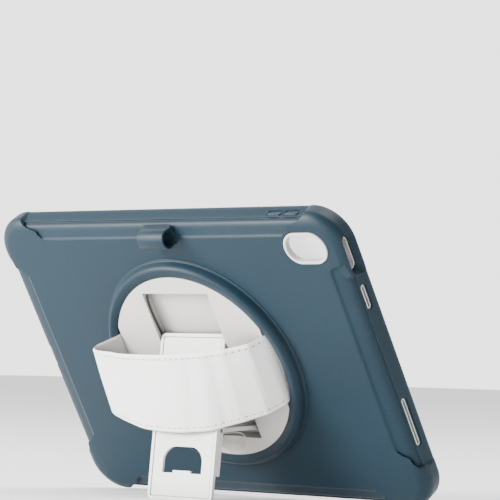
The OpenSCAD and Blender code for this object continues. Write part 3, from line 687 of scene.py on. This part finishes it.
def ring_surround():
    """The raised ring: its outline runs from the outer foot over the hump to the inner wall and below."""
    inner = 61.25
    tongue_in, tongue_out = 63.7, 66.9
    outer = RING_OUT
    foot = [(outer, -0.4), (outer, 0.18), (outer - 0.08, 0.36), (outer - 0.26, 0.47), (outer - 0.7, 0.52)]
    hump = [(outer - 1.05, 0.66), (outer - 1.45, 1.15), (outer - 1.75, 2.2), (outer - 2.3, 3.7),
            (outer - 3.1, 4.9), (outer - 4.1, 5.65), (outer - 5.1, RING_HIGH.z), (outer - 6.2, 5.72),
            (outer - 7.6, 5.28), (outer - 8.8, 4.85), (outer - 9.45, 4.55)]
    line = [(p.x, p.y) for p in smooth_line([(r, z, 0) for r, z in hump], 4)]
    rest = [(inner + 0.06, 4.38), (inner, 4.1), (inner, 1.0), (tongue_in, 1.0), (tongue_in, -0.9),
            (tongue_out, -0.9), (tongue_out, -0.4)]
    obj = lathe("ring_surround_skin", foot + line + rest)
    recalc(obj)
    settle(obj, 40)
    dress(obj, TEAL)
    put(obj, "shell", "soft_cover", "ring_surround")


# ---- Pen loop ----
def pen_loop():
    """A soft tube for the pen that runs into the back with a filleted foot."""
    r_in, r_out = 4.7, 6.0
    centre_z = 4.0
    x0, x1 = LOOP_LOW.x, LOOP_HIGH.x
    first_turn, whole_turn = -38, 256
    outer = []
    steps = 40
    for k in range(steps + 1):
        a = math.radians(first_turn + whole_turn * k / steps)
        outer.append((r_out * math.cos(a), centre_z + r_out * math.sin(a)))
    right = [(7.2, -0.25), (6.1, 0.02), (5.35, 0.30)]
    left = [(-y, z) for y, z in reversed(right)]
    outline = right + outer[3:-3] + left + [(-5.0, -1.2), (5.0, -1.2)]
    bore = [(r_in * math.cos(math.radians(a)), centre_z + r_in * math.sin(math.radians(a)))
            for a in range(0, 360, 6)]
    # The rounded ends: how far from the end, and how much the tube grows there
    ends = [(0.0, -0.55), (0.12, -0.28), (0.35, -0.08), (0.75, 0.0)]
    stations = [(x0 + d, g) for d, g in ends] + [(x1 - d, g) for d, g in reversed(ends)]
    rings = []
    for x, g in stations:
        ring = []
        for y, z in outline:
            v = Vector((y, z - centre_z))
            n = v.normalized() * g if z > 0.6 else Vector((0, 0))
            ring.append((x, PEN_Y + y + n.x, z + n.y))
        rings.append(ring)
    obj = loft("pen_loop_skin", rings)
    recalc(obj)
    tube = []
    for x, g in [(x0 - 2, 1.3), (x0 - 0.01, 0.45), (x0 + 0.2, 0.18), (x0 + 0.6, 0.0),
                 (x1 - 0.6, 0.0), (x1 - 0.2, 0.18), (x1 + 0.01, 0.45), (x1 + 2, 1.3)]:
        tube.append([(x, PEN_Y + y * (r_in + g) / r_in, centre_z + (z - centre_z) * (r_in + g) / r_in)
                     for y, z in bore])
    cut(obj, loft("cutter", tube))
    settle(obj, 40)
    dress(obj, TEAL)
    put(obj, "shell", "soft_cover", "pen_loop")


# ---- Volume buttons ----
def volume_button(node, body):
    """A soft key with a rounded edge and a shallow dish in its top."""
    low, high = BUTTONS[node]
    length, width = high.x - low.x - 1.0, 3.6
    levels = [(-3.2, 0.0), (-0.55, 0.0), (-0.35, -0.05), (-0.15, -0.2), (-0.03, -0.42), (0.0, -0.75)]
    outlines = [pill(length, width, g) for _, g in levels]
    dish = [pill(length, width, -1.1), pill(length, width, -1.5)]
    rings = stacked(outlines + dish, [h for h, _ in levels] + [-0.06, -0.1])
    obj = loft(node + "_skin", rings, matrix=top_matrix((low.x + high.x) / 2, SLOT_Z, high.y))
    recalc(obj)
    settle(obj, 40)
    dress(obj, TEAL)
    put(obj, body, "soft_cover", node)


# ---- Rigid CAD nodes: welded, their edges eased, and dressed ----
# Points closer than this are welded, in metres, and edges sharper than this many degrees are eased
WELD_DIST = 0.00001
EASE_ANGLE = 30.0


def ease(node, material, width, segments=3):
    """Welds a CAD node, rounds its sharp edges by a width in millimetres, and gives it its material."""
    obj = frame["nodes"][node]
    mesh = obj.data
    for name in [a.name for a in mesh.attributes if a.name == "custom_normal"]:
        mesh.attributes.remove(mesh.attributes[name])
    mesh.polygons.foreach_set("use_smooth", [True] * len(mesh.polygons))
    weld = obj.modifiers.new("weld", "WELD")
    weld.merge_threshold = WELD_DIST
    if width > 0:
        bevel = obj.modifiers.new("eased_edges", "BEVEL")
        bevel.width = width * MM
        bevel.segments = segments
        bevel.limit_method = "ANGLE"
        bevel.angle_limit = math.radians(EASE_ANGLE)
        bevel.harden_normals = False
        bevel.miter_outer = "MITER_ARC"
    weighted(obj)
    dress(obj, material)


# ---- Hand strap ----
STRAP_W = 44.0
STRAP_T = 1.7
# The strap's edge lines, [along the case, off the back], from the left slot to the right slot
STRAP_TOP = [(-55.75, -0.6), (-55.75, 3.0), (-56.6, 6.5), (-61.0, 12.5), (-64.6, 18.0), (-61.5, 21.8),
             (-53.0, 24.2), (-33.0, 26.4), (-10.0, 26.8), (10.0, 25.2), (30.0, 21.6), (43.0, 16.2),
             (48.6, 13.5), (49.5, 13.0), (50.0, 12.1), (52.2, 8.2), (54.6, 4.0), (55.2, 2.6), (55.6, 0.9),
             (55.75, -0.6)]
STRAP_LOW = [(-55.75, -0.6), (-55.75, 2.6), (-58.6, 5.8), (-66.5, 12.0), (-70.4, 18.0), (-66.5, 23.4),
             (-57.0, 28.4), (-42.0, 34.4), (-24.0, 39.6), (0.0, 41.2), (22.0, 37.4), (38.0, 28.0),
             (49.8, 19.4), (51.0, 18.5), (51.8, 17.3), (53.8, 13.4), (56.2, 8.6), (56.6, 6.6), (56.3, 3.0),
             (55.75, -0.6)]
STRAP_SAMPLES = 260
LINE_STEPS = 24
# Creases: where along the strap, how much they lean across it, how high in millimetres, and how wide
CREASES = [(0.640, 0.015, -0.35, 0.022), (0.700, 0.010, 0.30, 0.022), (0.752, 0.006, -0.40, 0.018),
           (0.800, 0.004, 0.30, 0.016), (0.14, 0.03, 0.45, 0.03), (0.215, 0.05, -0.40, 0.028),
           (0.36, -0.03, 0.25, 0.05)]
# The share of the strap's length over which creases fade out at its left and right end
FADE_LEFT = 0.08
FADE_RIGHT = 0.05
EDGE_ROUND = 0.85
STITCH_IN = 2.6
STITCH_PITCH = 4.4
STITCH_SEED = 7
# A stitch, from end to end: place in its half length, thickness, and height off the leather
STITCH_SHAPE = [(-1.0, 0.03, -0.24), (-0.92, 0.15, -0.12), (-0.6, 0.24, 0.06), (0.0, 0.26, 0.12),
                (0.6, 0.24, 0.06), (0.92, 0.15, -0.12), (1.0, 0.03, -0.24)]
# A dark cap painted as a needle hole's shade, from outside in: radius, and height off the leather
PIT_SHAPE = [(0.58, -0.3), (0.58, 0.05), (0.44, 0.09), (0.05, 0.04)]


def strap_point(top, low, share):
    """A point across the strap: share -1 is the lower edge and 1 the upper edge."""
    t = (share + 1) / 2
    u = low.x + (top.x - low.x) * t
    w = low.y + (top.y - low.y) * t
    return Vector((u, share * STRAP_W / 2, w))


def strap_lines():
    """The strap's upper and lower edge as evenly spaced points, and its length along the middle."""
    top, top_len = evenly(smooth_line([(x, z, 0) for x, z in STRAP_TOP], LINE_STEPS), STRAP_SAMPLES)
    low, low_len = evenly(smooth_line([(x, z, 0) for x, z in STRAP_LOW], LINE_STEPS), STRAP_SAMPLES)
    return top, low, (top_len + low_len) / 2


def crease(s, share):
    """Small folds near the strap's right end and soft waves elsewhere, in millimetres outward."""
    d = 0.0
    for at, lean, size, width in CREASES:
        x = (s - at - lean * share) / width
        d += size * math.exp(-x * x)
    fade = smoothstep(s / FADE_LEFT) * smoothstep((1 - s) / FADE_RIGHT)
    return d * fade


def bulge(from_edge):
    """Half the strap's thickness at a distance from its edge, which is rounded."""
    return STRAP_T / 2 * math.sqrt(max(0.0, 1 - max(0.0, 1 - from_edge / EDGE_ROUND) ** 2))


def across_profile():
    """Closed section of the strap, (share across, offset from the middle), and its outer points' count."""
    half_w = STRAP_W / 2
    steps = 44
    across = [-half_w + STRAP_W * k / steps for k in range(steps + 1)]
    outer, inner = [], []
    for y in across:
        from_edge = half_w - abs(y)
        groove = 0.17 * math.exp(-((from_edge - STITCH_IN) / 0.55) ** 2)
        welt = 0.12 * math.exp(-((from_edge - 1.4) / 0.9) ** 2)
        outer.append((y / half_w, bulge(from_edge) - groove + welt))
    for y in reversed(across):
        inner.append((y / half_w, -bulge(half_w - abs(y))))
    return outer + inner[1:-1], len(outer)


def hand_strap(top, low):
    """The strap's leather, with its lining on the inner side."""
    section, outer_count = across_profile()
    rings = []
    n = len(top)
    for i in range(n):
        s = i / (n - 1)
        a, b = max(i - 1, 0), min(i + 1, n - 1)
        ring = []
        t_top = (top[b] - top[a]).normalized()
        t_low = (low[b] - low[a]).normalized()
        for share, off in section:
            t = t_low.lerp(t_top, (share + 1) / 2).normalized()
            out = Vector((-t.y, 0, t.x))
            p = strap_point(top[i], low[i], share)
            ring.append(p + out * (off + crease(s, share)))
        rings.append(ring)
    obj = loft("hand_strap_skin", rings)
    count = len(section)
    inner_faces = []
    for f in obj.data.polygons:
        k = [v % count for v in f.vertices]
        if len(f.vertices) == 4 and all(outer_count - 1 <= v or v == 0 for v in k):
            inner_faces.append(f.index)
    settle(obj, 50)
    dress(obj, LEATHER, LINING)
    for index in inner_faces:
        obj.data.polygons[index].material_index = 1
    put(obj, "turntable", "strap_leather", "hand_strap")


def strap_surface(top, low, s, share, lift):
    """A point on the strap's outer face, with the directions along it and out of it."""
    x = s * (len(top) - 1)
    i = min(int(x), len(top) - 2)
    f = x - i
    tp, lp = top[i].lerp(top[i + 1], f), low[i].lerp(low[i + 1], f)
    t = (low[i + 1] - low[i]).lerp(top[i + 1] - top[i], (share + 1) / 2).normalized()
    out = Vector((-t.y, 0, t.x))
    p = strap_point(tp, lp, share)
    return p + out * (STRAP_T / 2 + lift + crease(s, share)), Vector((t.x, 0, t.y)), out


def stitches(top, low, length):
    """Rows of sewn stitches along both edges, and between them dark caps painted as the needle holes' shade.
    """
    share = 1 - STITCH_IN / (STRAP_W / 2)
    count = int(length / STITCH_PITCH)
    threads, hole_shades = [], []
    rng = random.Random(STITCH_SEED)
    half = STITCH_PITCH * 0.33
    for sign in (-1, 1):
        for k in range(2, count - 1):
            p, along, out = strap_surface(top, low, (k + 0.5) / count, sign * share, -0.12)
            side = along.cross(out)
            lean = side * rng.uniform(-0.12, 0.12)
            rings = []
            for d, r, lift in STITCH_SHAPE:
                c = p + (along + lean) * (d * half) + out * lift
                rings.append([c + (side * math.cos(a) + out * math.sin(a)) * r
                              for a in (math.radians(45 * j) for j in range(8))])
            threads.append(loft("stitch", rings))
            # A dark cap painted as the shade of a needle hole
            q, along, out = strap_surface(top, low, k / count, sign * share, -0.10)
            side = along.cross(out)
            rings = []
            for r, lift in PIT_SHAPE:
                rings.append([q + (along * math.cos(a) + side * math.sin(a)) * r + out * lift
                              for a in (math.radians(36 * j) for j in range(10))])
            hole_shades.append(loft("pit", rings))
    for name, parts, mat in (("strap_stitching", threads, THREAD), ("strap_needle_holes", hole_shades, HOLE_SHADE)):
        obj = join(name, parts)
        recalc(obj)
        settle(obj, 60)
        dress(obj, mat)
        put(obj, "turntable", "strap_leather")


# ---- Build ----
back_cover()
ring_surround()
pen_loop()
volume_button("volume_up_button", "volume_up")
volume_button("volume_down_button", "volume_down")
strap_top, strap_low, strap_length = strap_lines()
hand_strap(strap_top, strap_low)
stitches(strap_top, strap_low, strap_length)

ease("inner_shell", SHELL, 0.25)
ease("camera_bezel", SHELL, 0.45, segments=4)
ease("turntable_retainer", SHELL, 0.2)
ease("front_frame", SHELL, 0.4)
ease("turntable_disc", SHELL, 0.35)
ease("turntable_base", SHELL, 0.2)
ease("prop_arm", STAND, 0.3)
ease("stand_frame", STAND, 0.35)
ease("stand_panel", STAND, 0.22)
ease("screen_film", FILM, 0.05)
ease("film_tape", TAPE, 0.0)
for node in ("retainer_screws", "base_screws", "strap_clamp_bars", "strap_rivets", "arm_pivot_pin",
             "stand_pivot_pin", "guide_pins"):
    ease(node, STEEL, 0.12)


# ---- Floor, light and camera ----
FLOOR_HALF = 6.0
# The world's light grows towards a direction: from and to which cosine, and from and to what strength
SKY_TOWARD = (-0.64, 0.77, 0.0)
SKY_RANGE = (("From Min", -0.1), ("From Max", 0.9), ("To Min", 0.62), ("To Max", 2.85))
# Softboxes: name, place, what they face, size, and watts, in metres in the row frame
SOFTBOXES = [("key", (-1.35, -1.75, 0.75), (0, 0, 0.09), (0.8, 0.8), 150),
             ("fill", (2.0, -1.1, 0.5), (0, 0, 0.08), (0.7, 0.7), 4),
             ("top", (0.3, 0.5, 1.9), (0, 0, 0), (1.0, 1.0), 30),
             ("low", (-0.2, -0.85, 0.10), (0, 0, 0.02), (0.7, 0.14), 4)]


def floor_material():
    mat, tree, bsdf = new_material("studio_floor")
    cloud = noise(tree, 2, 2)
    tree.links.new(ramp(tree, cloud.outputs["Fac"], [(0.3, grey(0.965)), (0.7, grey(0.985))]),
                   bsdf.inputs["Base Color"])
    bsdf.inputs["Roughness"].default_value = 0.75
    return mat


def studio():
    s = FLOOR_HALF
    mesh = bpy.data.meshes.new("floor")
    mesh.from_pydata([(-s, -s, 0), (s, -s, 0), (s, s, 0), (-s, s, 0)], [], [(0, 1, 2, 3)])
    floor = bpy.data.objects.new("floor", mesh)
    bpy.context.scene.collection.objects.link(floor)
    mesh.materials.append(floor_material())
    world = bpy.data.worlds.new("studio")
    bpy.context.scene.world = world
    world.use_nodes = True
    tree = world.node_tree
    place = add(tree, "ShaderNodeTexCoord")
    toward = add(tree, "ShaderNodeVectorMath", operation="DOT_PRODUCT")
    toward.inputs[1].default_value = SKY_TOWARD
    tree.links.new(place.outputs["Generated"], toward.inputs[0])
    spread = add(tree, "ShaderNodeMapRange")
    for key, value in SKY_RANGE:
        spread.inputs[key].default_value = value
    tree.links.new(toward.outputs["Value"], spread.inputs["Value"])
    tree.links.new(spread.outputs["Result"], tree.nodes["Background"].inputs["Strength"])
    tree.nodes["Background"].inputs["Color"].default_value = (1, 1, 1, 1)


def softbox(name, at, target, size, power):
    lamp = bpy.data.lights.new(name, "AREA")
    lamp.shape = "RECTANGLE"
    lamp.size, lamp.size_y = size
    lamp.energy = power
    obj = bpy.data.objects.new(name, lamp)
    obj.location = at
    obj.rotation_euler = (Vector(target) - Vector(at)).to_track_quat("-Z", "Y").to_euler()
    bpy.context.scene.collection.objects.link(obj)


# Camera place in millimetres, its view and its right, in the case's own axes, and its lens in millimetres
CAMERA_AT = Vector((1042.5, 649.5, 1016.1))
CAMERA_LOOK = Vector((-0.6421, -0.3767, -0.6678))
CAMERA_RIGHT = Vector((0.7666, -0.3243, -0.5542))
CAMERA_LENS = 194.6


def camera():
    look = (CASE.to_3x3() @ CAMERA_LOOK).normalized()
    right = CASE.to_3x3() @ CAMERA_RIGHT
    right = (right - look * right.dot(look)).normalized()
    upward = right.cross(look)
    data = bpy.data.cameras.new("camera")
    data.sensor_width = 36
    data.lens = CAMERA_LENS
    data.clip_end = 50
    obj = bpy.data.objects.new("camera", data)
    pose = Matrix((right, upward, -look)).transposed().to_4x4()
    pose.translation = CASE @ (CAMERA_AT * MM)
    obj.matrix_world = pose
    bpy.context.scene.collection.objects.link(obj)
    bpy.context.scene.camera = obj


studio()
for values in SOFTBOXES:
    softbox(*values)
camera()
